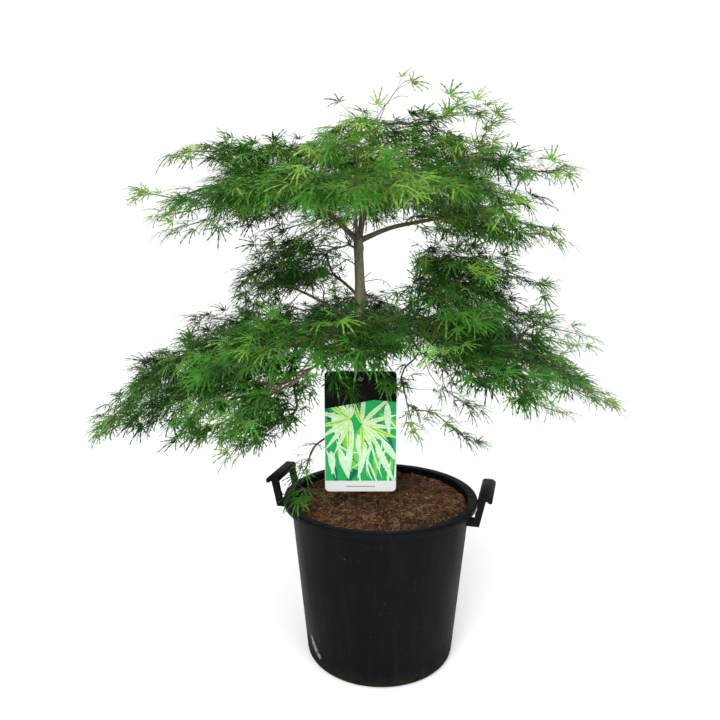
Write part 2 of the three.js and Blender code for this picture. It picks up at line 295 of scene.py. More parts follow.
# A Principled material. Masks are laid over it in turn, as rows of (group, its values, ...):
# tints end with a colour and a strength, roughs with a roughness, bumps with a distance and a
# strength
def makeFinish(name, color, roughness, tints=(), roughs=(), bumps=(), **sockets):
    material = bpy.data.materials.new(name)
    material.use_nodes = True
    tree = material.node_tree
    shader = tree.nodes["Principled BSDF"]
    shader.inputs["Base Color"].default_value = (*color, 1)
    shader.inputs["Roughness"].default_value = roughness
    for key, value in sockets.items():
        shader.inputs[key.replace("_", " ")].default_value = value

    def maskOf(kind, values):
        node = tree.nodes.new("ShaderNodeGroup")
        node.node_tree = groups[kind]
        for key, value in values.items():
            node.inputs[key].default_value = value
        return node.outputs["Mask"]

    # Mixes a value over the socket's own, or over what is linked to it already
    def layOver(socket, factor, value, **settings):
        mix = addNode(tree, "Mix", settings, B=value)
        tree.links.new(factor, mix.inputs["Factor"])
        if socket.is_linked:
            tree.links.new(socket.links[0].from_socket, mix.inputs["A"])
        else:
            mix.inputs["A"].default_value = socket.default_value
        tree.links.new(mix.outputs["Result"], socket)

    for kind, values, tint, strength in tints:
        amount = addNode(tree, "Math", {"operation": "MULTIPLY", "use_clamp": True}, _1=strength)
        tree.links.new(maskOf(kind, values), amount.inputs[0])
        layOver(shader.inputs["Base Color"], amount.outputs[0], (*tint, 1), data_type="RGBA")
    for kind, values, value in roughs:
        layOver(shader.inputs["Roughness"], maskOf(kind, values), value)
    for kind, values, distance, strength in bumps:
        bump = addNode(tree, "Bump", Distance=distance, Strength=strength)
        tree.links.new(maskOf(kind, values), bump.inputs["Height"])
        normal = shader.inputs["Normal"]
        if normal.is_linked:
            tree.links.new(normal.links[0].from_socket, bump.inputs["Normal"])
        tree.links.new(bump.outputs["Normal"], normal)
    return material


# The first two entries of a row for makeFinish
def mottle(scale, low, high, stretch=1.0):
    return "mottle", {"Scale": scale, "Low": low, "High": high, "Stretch": stretch}


def heightBand(low, high, rough):
    return "heightBand", {"Low": low, "High": high, "Rough": rough}


# The pot

pot = {
    "sides": 168,
    "wall": 0.003,
    "baseRadius": 0.158,
    "wallTop": 0.1885,
    "corner": 0.014,
    "rimDepth": 0.012,
    "rimRound": 0.003,
    "rimFillet": 0.002,
    "drains": {"count": 8, "radius": 0.0070, "height": 0.0125, "turn": 72, "sides": 24,
               "halfLength": 0.016, "fall": 0.35},
    "smoothUnder": 35,
    "plastic": {
        "color": (0.0022, 0.0025, 0.0034), "roughness": 0.42, "Specular_IOR_Level": 0.034,
        "tints": [
            (*mottle(9, 0.42, 0.75, 0.25), (0.0042, 0.0044, 0.0046), 0.8),
            (*mottle(55, 0.5, 0.8, 0.04), (0.0068, 0.0066, 0.0062), 0.6),
            (*heightBand(0.0, 0.035, 0.08), (0.016, 0.017, 0.007), 0.55),
            (*mottle(170, 0.70, 0.74), (0.09, 0.09, 0.075), 0.6),
        ],
        "roughs": [(*mottle(22, 0.35, 0.7, 0.3), 0.58), (*heightBand(0.0, 0.07, 0.1), 0.8)],
        "bumps": [(*mottle(900, 0.2, 0.8), 0.00012, 0.6), (*mottle(14, 0.3, 0.7, 0.12), 0.0012, 0.35)],
    },
    "scuffColor": (0.20, 0.21, 0.20),
    "scuffStrength": 0.8,
    "scuffs": [  # x, y, z, reach
        (-0.146, -0.078, 0.062, 0.012), (-0.143, -0.082, 0.053, 0.016), (-0.138, -0.088, 0.044, 0.016),
        (-0.130, -0.097, 0.034, 0.012), (0.020, -0.166, 0.080, 0.004), (0.014, -0.166, 0.075, 0.004),
    ],
}
handles = {"weld": 0.00005, "flatUnder": 4, "ease": 0.0014, "easeSteps": 3, "easeOver": 25,
           "smoothUnder": 50}


def arcPoints(centre, radius, fromTurn, toTurn, steps):
    turn = np.radians(np.linspace(fromTurn, toTurn, steps))
    return np.stack([centre[0] + radius * np.cos(turn), centre[1] + radius * np.sin(turn)], axis=1)


# A profile of (radius, height) rows carried round the Z axis: (r cos, r sin, z), with a flat
# cap over each end
def turnedShape(profile, sides):
    turn = np.linspace(0, 2 * math.pi, sides, endpoint=False)
    ring = np.stack([np.cos(turn), np.sin(turn)], axis=1)
    points = np.empty((len(profile), sides, 3))
    points[..., :2] = profile[:, None, :1] * ring[None]
    points[..., 2] = profile[:, None, 1]
    return points, *cappedFaces(len(profile), sides)


def straight(start, end, steps):
    return np.linspace(start, end, steps + 2)[1:-1]


# Outside of the wall, over the rounded rim and down the inside to the floor
def potProfile():
    rim, _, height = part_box("pot")[1]
    base, corner, wall, top = (pot[key] for key in ("baseRadius", "corner", "wall", "wallTop"))
    bend, fillet = pot["rimRound"], pot["rimFillet"]
    under = height - pot["rimDepth"]
    inner = top - wall
    return np.concatenate([
        arcPoints((base - corner, corner), corner, -90, 0, 9),
        straight((base, corner), (top, under - fillet), 40),
        arcPoints((top + fillet, under - fillet), fillet, 180, 90, 4),
        arcPoints((rim - bend, under + bend), bend, -90, 0, 5),
        arcPoints((rim - bend, height - bend), bend, 0, 90, 6),
        arcPoints((inner + bend, height - bend), bend, 90, 180, 6),
        straight((inner, height - bend), (base - wall, corner), 24),
        arcPoints((base - corner, corner), corner - wall, 0, -90, 6),
    ])


def potPlastic():
    facts = dict(pot["plastic"])
    facts["tints"] = facts["tints"] + [
        ("patch", dict(zip(("X", "Y", "Z", "Reach"), scuff)), pot["scuffColor"], pot["scuffStrength"])
        for scuff in pot["scuffs"]]
    return makeFinish("pot plastic", **facts)


# Round bars through the foot of the wall that fall outwards
def drainCutter():
    drains = pot["drains"]
    reach = np.array([[-1], [1]]) * drains["halfLength"]
    shapes = []
    for turn in np.radians(drains["turn"] + np.arange(drains["count"]) * 360 / drains["count"]):
        outward = np.array([math.cos(turn), math.sin(turn), 0.0])
        centre = outward * (pot["baseRadius"] - 0.002) + up * drains["height"]
        route = centre + reach * unit(outward - drains["fall"] * up)
        shapes.append(sweptTube(route, np.full((2, drains["sides"]), drains["radius"])))
    points, corners, sizes = joined(shapes)
    faces = [list(face) for face in np.split(corners, np.cumsum(sizes)[:-1])]
    mesh = bpy.data.meshes.new("drains")
    mesh.from_pydata(points.tolist(), [], faces)
    return addObject("drains", mesh)


# Puts what the modifiers make into the piece's own mesh
def settle(piece):
    shaped = piece.evaluated_get(bpy.context.evaluated_depsgraph_get())
    mesh = bpy.data.meshes.new_from_object(shaped)
    piece.modifiers.clear()
    piece.data = mesh


def makePot(plastic):
    points, corners, sizes = turnedShape(potProfile(), pot["sides"])
    piece = meshPiece("potBody", points, corners, sizes, plastic, "pot_plastic")
    cutter = drainCutter()
    cut = piece.modifiers.new("drains", "BOOLEAN")
    cut.operation = "DIFFERENCE"
    cut.solver = "EXACT"
    cut.object = cutter
    settle(piece)
    bpy.data.objects.remove(cutter)
    piece.data.shade_smooth()
    piece.data.set_sharp_from_angle(angle=math.radians(pot["smoothUnder"]))
    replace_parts(piece, "pot")
    print("pot", len(piece.data.polygons))


# The handles keep the frame's shape, with their edges eased
def makeHandles(plastic):
    for name in ("handle_left", "handle_right"):
        piece = addObject(name + "_moulded", nodes[name].data.copy())
        weld = piece.modifiers.new("weld", "WELD")
        weld.merge_threshold = handles["weld"]
        flat = piece.modifiers.new("flat", "DECIMATE")
        flat.decimate_type = "DISSOLVE"
        flat.angle_limit = math.radians(handles["flatUnder"])
        ease = piece.modifiers.new("ease", "BEVEL")
        ease.width = handles["ease"]
        ease.segments = handles["easeSteps"]
        ease.angle_limit = math.radians(handles["easeOver"])
        settle(piece)
        piece.data.materials.clear()
        piece.data.materials.append(plastic)
        piece.data.shade_smooth()
        piece.data.set_sharp_from_angle(angle=math.radians(handles["smoothUnder"]))
        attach(piece, "root")
        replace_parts(piece, name)
    print("two handles")


# The potting mix: an uneven bed with crumbs and fibres lying on it

mix = {
    "sides": 200,
    "rings": 64,
    "wallGap": 0.0007,
    "innerGap": 0.0004,
    "edgeDepth": 0.006,
    "level": -0.003,
    "relief": 0.00375,
    "swells": [(1.0, 45), (0.6, 130), (0.35, 380)],  # height, waves
    "heap": {"height": 0.009, "across": 0.6, "back": 0.25},
    "edgeFall": (0.035, 0.005),  # width, drop
    "bed": {
        "color": (0.030, 0.013, 0.008), "roughness": 0.95, "Specular_IOR_Level": 0.2,
        "tints": [
            (*mottle(150, 0.4, 0.62), (0.12, 0.05, 0.024), 0.8),
            (*mottle(420, 0.52, 0.7), (0.20, 0.11, 0.05), 0.6),
            # painted shade: the bed goes near black below 6 cm and fully so below 3 cm, deep inside
            # the pot and behind the drain holes
            (*heightBand(0.03, 0.06, 0.01), (0.002, 0.0015, 0.001), 1.0),
        ],
        "bumps": [(*mottle(600, 0.2, 0.8), 0.0015, 0.9)],
    },
    "crumbs": {"count": 3200, "size": (0.0012, 0.0045), "stretch": (0.5, 1.4), "flatten": 0.8,
               "color": (0.085, 0.036, 0.019)},
    "fibres": {
        "fibresDark": (2400, (0.035, 0.017, 0.011)),
        "fibresRed": (3000, (0.20, 0.078, 0.032)),
        "fibresTan": (1700, (0.36, 0.235, 0.11)),
    },
    "fibreLength": (4.0, 0.0036),  # gamma distribution
    "fibreCurl": 1.3,
    "fibreRadius": (0.00025, 0.00075),
    "fibreLift": 0.006,
    "seed": 11,
}


# Height of the bed: the frame's top, less a fall towards the wall, plus a heap at the back and
# three sizes of swell
def mixHeight(spots):
    edge, _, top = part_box("soil")[1]
    flat = spots * (1, 1, 0)
    radius = np.hypot(spots[:, 0], spots[:, 1])
    band, drop = mix["edgeFall"]
    fall = np.clip((radius - edge + band) / band, 0, 1) ** 2 * drop
    swell = sum(height * waveNoise(flat, waves, 3 + k)
                for k, (height, waves) in enumerate(mix["swells"]))
    heap = mix["heap"]
    slope = 0.5 + spots[:, 1] / heap["back"] + spots[:, 0] / heap["across"]
    lift = heap["height"] * np.clip(slope, 0, 1)
    return top + mix["level"] - fall + lift + mix["relief"] * swell


def makeMix():
    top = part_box("soil")[1].z
    wall, base, corner = pot["wall"], pot["baseRadius"], pot["corner"]
    gap = mix["innerGap"]
    rim = np.array([pot["wallTop"] - wall - mix["wallGap"], top - mix["edgeDepth"]])
    rings = np.linspace(rim[0] - 0.0003, 0.002, mix["rings"])
    bottom = arcPoints((base - corner, corner), corner - wall - gap, -90, 0, 5)
    profile = np.concatenate([bottom, straight(bottom[-1], rim, 6) - (gap, 0),
                              np.stack([rings, np.full(len(rings), top)], axis=1)])
    points, corners, sizes = turnedShape(profile, mix["sides"])
    surface = points[-len(rings):].reshape(-1, 3)
    surface[:, 2] = mixHeight(surface)
    points[-len(rings):] = surface.reshape(len(rings), -1, 3)
    bed = meshPiece("mixBed", points, corners, sizes, makeFinish("potting mix", **mix["bed"]),
                    "potting_mix")
    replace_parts(bed, "soil")
    makeCrumbs()
    makeFibres()
    print("potting mix laid")


def scatterSpots(rng, count):
    radius = (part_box("soil")[1].x - 0.006) * np.sqrt(rng.uniform(0.0, 1.0, count))
    turn = rng.uniform(0, 2 * math.pi, count)
    return np.stack([radius * np.cos(turn), radius * np.sin(turn), np.zeros(count)], axis=1)


def matteFinish(name, color, roughness, variation=0.5):
    darker = tuple(0.45 * c for c in color)
    return makeFinish(name, color, roughness, Specular_IOR_Level=0.25, tints=[
        (*mottle(90, 0.42, 0.62), darker, variation),
        (*mottle(14, 0.46, 0.58), darker, min(1.0, variation * 1.6))])


# Crumbs: octahedra stretched and turned at random, half sunk in the bed
def makeCrumbs():
    rng = np.random.default_rng(mix["seed"])
    facts = mix["crumbs"]
    count = facts["count"]
    corner = np.repeat(np.eye(3), 2, axis=0) * np.array([[1], [-1]] * 3)
    faces = np.array([[0, 2, 4], [2, 1, 4], [1, 3, 4], [3, 0, 4],
                      [2, 0, 5], [1, 2, 5], [3, 1, 5], [0, 3, 5]])
    spots = scatterSpots(rng, count)
    spots[:, 2] = mixHeight(spots) + 0.0004
    size = rng.uniform(*facts["size"], (count, 1, 1)) * rng.uniform(*facts["stretch"], (count, 6, 3))
    x, y, z = np.moveaxis(corner * size, -1, 0)
    yaw = rng.uniform(0, 2 * math.pi, (count, 1))
    c, s = np.cos(yaw), np.sin(yaw)
    points = np.stack([x * c - y * s, x * s + y * c, z * facts["flatten"]], axis=-1)
    meshPiece("mixCrumbs", points + spots[:, None], faces + (np.arange(count) * 6)[:, None, None],
              np.full(count * 8, 3), matteFinish("bark crumbs", facts["color"], 0.95, 0.8),
              "potting_mix", smooth=False)


# Fibres: thin three-sided threads that curl along an arc over the bed
def makeFibres():
    rng = np.random.default_rng(mix["seed"] + 1)
    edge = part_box("soil")[1].x - 0.002
    along = np.linspace(-0.5, 0.5, 5)[None]
    for name, (count, color) in mix["fibres"].items():
        spots = scatterSpots(rng, count)
        heading = rng.uniform(0, 2 * math.pi, (count, 1))
        length = rng.gamma(*mix["fibreLength"], (count, 1))
        turn = heading + rng.normal(0, mix["fibreCurl"], (count, 1)) * along
        x = spots[:, :1] + length * along * np.cos(turn)
        y = spots[:, 1:2] + length * along * np.sin(turn)
        line = np.stack([x, y, np.zeros_like(x)], axis=-1)
        line *= np.minimum(1, edge / np.maximum(np.hypot(x, y), 1e-6))[..., None]
        lift = rng.uniform(0, mix["fibreLift"], (count, 1)) * (1 - 3 * along**2) + 0.001
        line[..., 2] = mixHeight(line.reshape(-1, 3)).reshape(count, -1) + lift
        thinning = np.sqrt(np.clip(1.1 - 4 * along**2, 0.1, 1))
        radius = rng.uniform(*mix["fibreRadius"], (count, 1)) * thinning
        meshPiece(name, *bundledTubes(line, radius, 3), matteFinish(name, color, 0.85), "potting_mix")


# Many tubes at once: each ring is the centre + radius * (side cos + rise sin), where side lies
# across the tube and rise across both; ends are capped
def bundledTubes(routes, radii, sides):
    count, steps = routes.shape[:2]
    tangent = unit(np.gradient(routes, axis=1))
    chord = routes[:, -1] - routes[:, 0]
    upright = np.abs(chord[:, 2:]) > 0.8 * np.linalg.norm(chord, axis=1, keepdims=True)
    across = np.cross(chord, np.where(upright, [[1.0, 0.2, 0.0]], [[0.0, 0.1, 1.0]]))
    side = unit(across[:, None] - tangent * (across[:, None] * tangent).sum(-1, keepdims=True))
    rise = np.cross(tangent, side)
    turn = np.linspace(0, 2 * math.pi, sides, endpoint=False)[:, None]
    ring = side[:, :, None] * np.cos(turn) + rise[:, :, None] * np.sin(turn)
    points = routes[:, :, None] + radii[..., None, None] * ring
    corners, sizes = cappedFaces(steps, sides)
    corners = corners[None] + (np.arange(count) * steps * sides)[:, None]
    return points.reshape(-1, 3), corners.ravel(), np.tile(sizes, count)


# The trunk and boughs in millimetres: radii at the start and the end, then the route,
# as the frame's limbs run, carried on into the foliage
limbs = {
    "trunk": ((15, 9.5), [
        (-40, 90, 332.5), (-40, 90, 363), (-42, 62, 450), (-44, 24, 560), (-43, 2, 645),
        (-43, -1, 710), (-43, 2, 780), (-47, 0, 888)]),
    "leader": ((6.5, 2.5), [
        (-46, 0, 882), (-37, 2, 930), (-33, 4, 1010), (-20, 4, 1075)]),
    "upperRight": ((5.5, 2.2), [
        (-46, 0, 882), (20, -6, 908), (100, -8, 924), (230, 0, 950), (290, 20, 956)]),
    "upperLeft": ((5.5, 2.2), [
        (-46, 0, 882), (-108, 4, 935), (-190, 6, 975), (-260, 6, 990), (-350, 6, 985)]),
    "upperFront": ((4.5, 2), [
        (-46, 0, 882), (-52, -50, 925), (-48, -120, 965), (-44, -190, 985), (-50, -290, 980)]),
    "upperBack": ((5, 2), [
        (-46, 0, 882), (-40, 55, 930), (-36, 130, 970), (-34, 210, 985), (-40, 330, 980)]),
    "middleRight": ((4.5, 2), [
        (-43, 0, 700), (20, 4, 728), (90, 4, 770), (170, 0, 812), (270, 0, 810)]),
    "middleLeft": ((4.5, 2.2), [
        (-43, 0, 715), (-90, 6, 742), (-150, 8, 775), (-210, 6, 800)]),
    "middleBack": ((4.5, 2), [
        (-43, 0, 705), (-44, 60, 740), (-46, 130, 785), (-40, 200, 812)]),
    "lowLeft": ((6.5, 2.5), [
        (-43, 0, 648), (-110, -10, 668), (-190, -16, 672), (-290, -14, 650), (-400, -10, 590)]),
    "lowRight": ((6, 2.2), [
        (-43, 0, 655), (20, -4, 690), (110, -10, 700), (210, -14, 680), (310, -10, 640)]),
    "lowFront": ((4.5, 2), [
        (-43, 0, 690), (-50, -50, 712), (-70, -110, 715), (-90, -190, 690), (-160, -240, 640)]),
    "lowBack": ((5, 2.2), [
        (-43, 0, 665), (-36, 60, 695), (-40, 140, 705), (-50, 230, 680), (-60, 340, 640)]),
    "lowSpray": ((3.4, 1.2), [
        (-42, 60, 452), (-90, 24, 476), (-134, -58, 474), (-148, -118, 445)]),
}
limbs = {name: (np.array(radii) / 1000, np.array(route) / 1000)
         for name, (radii, route) in limbs.items()}
bark = {
    "trunk": {"steps": 420, "sides": 56},
    "bough": {"steps": 64, "sides": 16, "collar": 0.35, "collarReach": 0.012},
    "flare": {"width": 0.012, "fall": 16, "lobes": 0.35},
    "union": {"height": 0.775, "reach": 0.012, "swell": 0.12, "lean": 0.6, "side": 2.2},
    "knot": {"reach": 0.006, "width": 0.45, "swell": 0.20},
    "knots": [(0.50, 1.2), (0.585, 4.6), (0.72, 4.2),  # height, side
              (0.83, 5.4), (0.615, 3.0), (0.868, 3.4)],
    "ridges": 0.085,
    "grain": 0.035,
    "old": {
        "color": (0.120, 0.118, 0.070), "roughness": 0.82, "Specular_IOR_Level": 0.3,
        "tints": [
            (*mottle(60, 0.42, 0.66, 0.12), (0.030, 0.024, 0.016), 0.95),
            (*mottle(26, 0.5, 0.7, 0.2), (0.12, 0.115, 0.045), 0.6),
            (*mottle(210, 0.58, 0.75, 0.3), (0.22, 0.19, 0.14), 0.7),
        ],
        "bumps": [(*mottle(130, 0.3, 0.7, 0.16), 0.002, 0.9)],
    },
    "young": {
        "color": (0.050, 0.034, 0.026), "roughness": 0.7, "Specular_IOR_Level": 0.3,
        "tints": [
            (*mottle(70, 0.42, 0.66), (0.085, 0.075, 0.035), 0.8),
            (*mottle(300, 0.6, 0.75), (0.16, 0.13, 0.10), 0.5),
        ],
        "bumps": [(*mottle(240, 0.3, 0.7), 0.0006, 0.7)],
    },
    "twig": {
        "color": (0.048, 0.026, 0.020), "roughness": 0.6, "Specular_IOR_Level": 0.3,
        "tints": [(*mottle(60, 0.42, 0.6), (0.07, 0.07, 0.02), 0.7)],
    },
}


# Bark relief: ridges and a finer grain that follow the limb, as a share of the radius
def barkRelief(along, turn, length, seed):
    coarse = np.stack([np.cos(turn), np.sin(turn), along * length * 9], axis=-1)
    fine = np.stack([np.cos(turn) * 4.5, np.sin(turn) * 4.5, along * length * 60], axis=-1)
    return (bark["ridges"] * waveNoise(coarse, 1.6, seed)
            + bark["grain"] * waveNoise(fine, 1.2, seed + 1))


# The trunk's radius flares at its foot in three lobes and swells at the graft and at the knots
def trunkRadius(radius, along, turn, height):
    flare, union, knot = bark["flare"], bark["union"], bark["knot"]
    foot = np.exp(-along * flare["fall"]) * (1 + flare["lobes"] * np.cos(3 * turn))
    radius = radius + flare["width"] * foot
    swell = union["swell"] * np.exp(-((height - union["height"]) / union["reach"]) ** 2)
    radius = radius * (1 + swell * (1 + union["lean"] * np.cos(turn - union["side"])))
    for level, side in bark["knots"]:
        apart = ((height - level) / knot["reach"]) ** 2 + ((turn - side) / knot["width"]) ** 2
        radius = radius * (1 + knot["swell"] * np.exp(-apart))
    return radius


def limbShape(name, seed):
    (startRadius, endRadius), controls = limbs[name]
    facts = bark["trunk" if name == "trunk" else "bough"]
    steps, sides = facts["steps"], facts["sides"]
    route = smoothRoute(controls, steps)
    around = np.linspace(0, 2 * math.pi, sides, endpoint=False)
    along, turn = np.meshgrid(np.linspace(0, 1, steps), around, indexing="ij")
    length = np.linalg.norm(np.diff(route, axis=0), axis=1).sum()
    radius = startRadius + (endRadius - startRadius) * along**0.8
    if name == "trunk":
        radius = trunkRadius(radius, along, turn, route[:, 2:])
    else:
        radius = radius * (1 + facts["collar"] * np.exp(-along * length / facts["collarReach"]))
    return sweptTube(route, radius * (1 + barkRelief(along, turn, length, seed)))


def makeLimbs():
    old = makeFinish("maple bark", **bark["old"])
    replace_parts(meshPiece("trunkBark", *limbShape("trunk", 1), old, "bark"), "trunk")
    boughNames = [name for name in limbs if name != "trunk"]
    shape = joined([limbShape(name, 10 + i) for i, name in enumerate(boughNames)])
    piece = meshPiece("boughBark", *shape, makeFinish("young bark", **bark["young"]), "bark")
    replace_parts(piece, *[name for name in nodes if name.startswith("bough_")])
    print("trunk and", len(boughNames), "boughs")


# Growth: seeded buds fill each mass of foliage, then every bud, nearest first, is reached by a
# shoot from the limb or shoot that costs the least length, turning and travel

growth = {
    "seed": 5,
    "spacing": 0.0206,
    "tries": 9000,
    "tierGap": 0.062,
    "tierFall": (0.90, 0.30),
    "tierHeights": (0.50, 1.00),
    "tierBlur": 0.005,
    "arch": (0.016, 11),  # height, waves
    "ends": [  # how far a leaf reaches outward and up, and how far it may stand out of its mass
        (0.050, -0.014, 0.014), (0.018, -0.030, 0.016), (0.0, 0.012, 0.008)],
    "turnCost": 0.9,
    "travelCost": 0.25,
    "clearingCost": 0.5,
    "heading": {"step": 0.6, "parent": 0.2, "outward": 0.4, "sag": 0.10},
    "startSlope": 0.55,
    "tipRadius": 0.0007,
    "pipe": 0.35,
    "taper": (1.15, 1.35),  # base over tip, from a limb and at most
    "thickest": 0.0034,
    "twigSides": 4,
}
trunkAxis = np.array([-0.045, 0.0, 0.0])

# Where sky shows through the crown from the front: ellipses in the trunk's plane, as (x, z,
# half width, half height) in millimetres and the percentage of the buds kept
clearings = np.array([
    (18, 842, 54, 54, 0), (105, 575, 30, 45, 0), (30, 1138, 50, 26, 0), (-45, 1140, 100, 22, 10),
    (160, 1102, 40, 26, 0), (35, 1172, 50, 45, 2), (-265, 1100, 60, 22, 5), (-115, 1130, 60, 30, 0),
    (305, 1055, 95, 34, 6), (285, 990, 80, 26, 8), (270, 960, 120, 60, 55), (285, 850, 85, 50, 12),
    (230, 800, 150, 80, 75), (-220, 810, 140, 80, 65), (-370, 1040, 65, 30, 10),
    (-400, 1010, 70, 34, 8), (-440, 945, 110, 30, 10), (-385, 955, 80, 34, 15),
    (-310, 905, 120, 24, 3), (-550, 620, 65, 65, 3), (-255, 885, 70, 30, 20),
    (-290, 830, 55, 70, 30), (-60, 790, 60, 20, 40), (-500, 490, 80, 32, 45),
    (-400, 445, 160, 34, 5), (-155, 375, 140, 62, 8), (0, 980, 700, 400, 90),
]) / (1000, 1000, 1000, 1000, 100)
# Sprays that stand clear of the rest: x, y, z of both ends in millimetres, and how many buds
strands = [
    (-312, 0, 723, -361, 0, 727, 3), (-242, -50, 490, -290, -50, 465, 3),
    (40, -30, 610, 62, -50, 520, 6), (45, -20, 590, 75, -30, 585, 2),
    (120, 50, 515, 190, 50, 455, 5), (75, -40, 665, 115, -50, 640, 3),
    (-128, -60, 480, -150, -60, 445, 3), (-110, -100, 645, -70, -120, 615, 3),
    (0, -110, 650, 6, -115, 620, 2), (-320, 0, 1058, -385, 0, 1052, 3),
    (-20, 0, 1110, 30, 0, 1172, 3), (-330, 0, 952, -425, 0, 932, 4),
    (-300, 0, 938, -400, 0, 908, 4), (-410, 0, 965, -470, 0, 976, 4),
    (270, 0, 1020, 345, 0, 1014, 5), (270, 0, 900, 345, 0, 890, 4), (420, 0, 580, 468, 0, 552, 3),
    (-520, 0, 540, -576, 0, 495, 4), (-63, 10, 874, -110, 10, 862, 3),
    (-70, 20, 845, -100, 20, 825, 3), (-30, 10, 1104, -65, 0, 1128, 3),
    (100, 0, 1090, 150, 0, 1124, 3), (165, 0, 1122, 205, 0, 1110, 3),
    (-110, 20, 930, -200, 20, 905, 6), (-90, -30, 930, -150, -40, 895, 5),
    (-80, 50, 910, -170, 50, 870, 5), (60, 0, 915, 110, 0, 908, 3), (250, 0, 925, 330, 0, 905, 5),
    (-36, -6, 834, -6, 0, 806, 3), (60, -40, 928, 230, -50, 935, 7),
    (80, -80, 925, 200, -100, 925, 5), (300, -30, 720, 385, -30, 700, 5),
    (300, 40, 690, 400, 40, 665, 6), (290, 0, 560, 370, 0, 530, 5),
    (110, -40, 600, 170, -60, 560, 4),
]


# Share kept at each point: the point is moved along its line from the camera to the trunk's
# plane, and gets the least share of the clearings that hold it there
def keptShare(points):
    eye = np.array(camera["place"])
    seen = eye + (points - eye) * (-eye[1] / (points[:, 1:2] - eye[1]))
    share = np.ones(len(points))
    for x, z, halfWidth, halfHeight, kept in clearings:
        inside = ((seen[:, 0] - x) / halfWidth) ** 2 + ((seen[:, 2] - z) / halfHeight) ** 2 < 1
        share = np.where(inside, np.minimum(share, kept), share)
    return share


# Level direction away from the trunk
def outwardOf(points):
    return unit((points - trunkAxis) * (1, 1, 0))


# How far each point lies inside a mass: positive within, negative outside
def depthIn(tree, points):
    depth = np.empty(len(points))
    for i, point in enumerate(points):
        place, normal, _, distance = tree.find_nearest(Vector(point))
        depth[i] = distance if (place - Vector(point)).dot(normal) > 0 else -distance
    return depth


# Foliage lies in tiers: z moves to the nearest of the surfaces
# n * tierGap - tierFall * (distance from the trunk)^2 + slow noise
def toTier(spots, rng):
    flat = spots * (1, 1, 0)
    radius = np.hypot(spots[:, 0] - trunkAxis[0], spots[:, 1])
    fall = np.interp(spots[:, 2], growth["tierHeights"], growth["tierFall"])
    swing, scale = growth["arch"]
    arch = swing * waveNoise(flat, scale, 31) - fall * radius**2
    level = np.round((spots[:, 2] - arch) / growth["tierGap"])
    spots[:, 2] = level * growth["tierGap"] + arch + rng.normal(0, growth["tierBlur"], len(spots))
    return spots


def budsIn(name, rng):
    mesh = nodes[name].data
    faces = [tuple(face.vertices) for face in mesh.polygons]
    tree = BVHTree.FromPolygons([v.co for v in mesh.vertices], faces)
    low, high = (np.array(corner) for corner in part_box(name))
    volume = np.prod(high - low)
    tries = int(growth["tries"] * min(1.0, volume / 0.01)) + 80
    spots = toTier(rng.uniform(low, high, (tries, 3)), rng)
    spots = spots[depthIn(tree, spots) > 0.003]
    fits = np.ones(len(spots), bool)
    for outward, rise, slack in growth["ends"]:
        fits &= depthIn(tree, spots + outwardOf(spots) * outward + up * rise) > -slack
    return spots[fits] if fits.sum() > 6 else spots


def sproutBuds():
    rng = np.random.default_rng(growth["seed"])
    chains = np.concatenate([np.linspace(np.array(row[:3]) / 1000, np.array(row[3:6]) / 1000, row[6])
                             for row in strands])
    taken = chains
    masses = sorted(name for name in nodes if name.startswith("foliage_"))
    for name in masses:
        for spot in budsIn(name, rng):
            if np.linalg.norm(taken - spot, axis=1).min() > growth["spacing"]:
                taken = np.vstack([taken, spot])
    share = keptShare(taken)
    share[:len(chains)] = 1
    return taken[rng.uniform(0, 1, len(taken)) < share]


def growShoots(buds):
    routes = [smoothRoute(controls, 26)[8 if name == "trunk" else 5:]
              for name, (_, controls) in limbs.items()]
    place = np.concatenate(routes + [buds])
    heading = unit(np.concatenate([np.gradient(r, axis=0) for r in routes] + [np.zeros_like(buds)]))
    weights = growth["heading"]
    first = len(place) - len(buds)
    travel = np.zeros(len(place))
    parent = np.full(len(place), -1)
    limbGap = np.linalg.norm(buds[:, None] - place[None, :first], axis=-1).min(axis=1)
    grown = list(range(first))
    for bud in first + np.argsort(limbGap):
        known = np.array(grown)
        away = place[bud] - place[known]
        length = np.linalg.norm(away, axis=1)
        turning = 1 - (away * heading[known]).sum(axis=1) / np.maximum(length, 1e-9)
        cost = length * (1 + growth["turnCost"] * turning) + growth["travelCost"] * travel[known]
        cost += growth["clearingCost"] * (keptShare((place[bud] + place[known]) / 2) == 0)
        best = known[np.argmin(cost)]
        parent[bud] = best
        step = place[bud] - place[best]
        span = np.linalg.norm(step)
        travel[bud] = travel[best] + span
        heading[bud] = unit(weights["step"] * step / span + weights["parent"] * heading[best]
                            + weights["outward"] * outwardOf(place[bud]) - weights["sag"] * up)
        grown.append(bud)
    return place, heading, parent, first


# Buds carried by each shoot, counted from the tips down
def loadOf(parent, first):
    load = np.ones(len(parent))
    children = np.zeros(len(parent), int)
    for i in range(first, len(parent)):
        j = i
        while parent[j] >= first:
            j = parent[j]
            load[j] += 1
        if parent[i] >= first:
            children[parent[i]] += 1
    return load, children


# Each shoot is a cubic Hermite curve from its parent's heading to its own
def shootRoutes(place, heading, parent, first, steps=4):
    child = np.arange(first, len(place))
    a, b = place[parent[child]], place[child]
    span = np.linalg.norm(b - a, axis=1, keepdims=True)
    share = growth["startSlope"]
    ma = (share * heading[parent[child]] + (1 - share) * (b - a) / span) * span
    mb = heading[child] * span
    t = np.linspace(0, 1, steps)[None, :, None]
    return hermite(a[:, None], b[:, None], ma[:, None], mb[:, None], t)


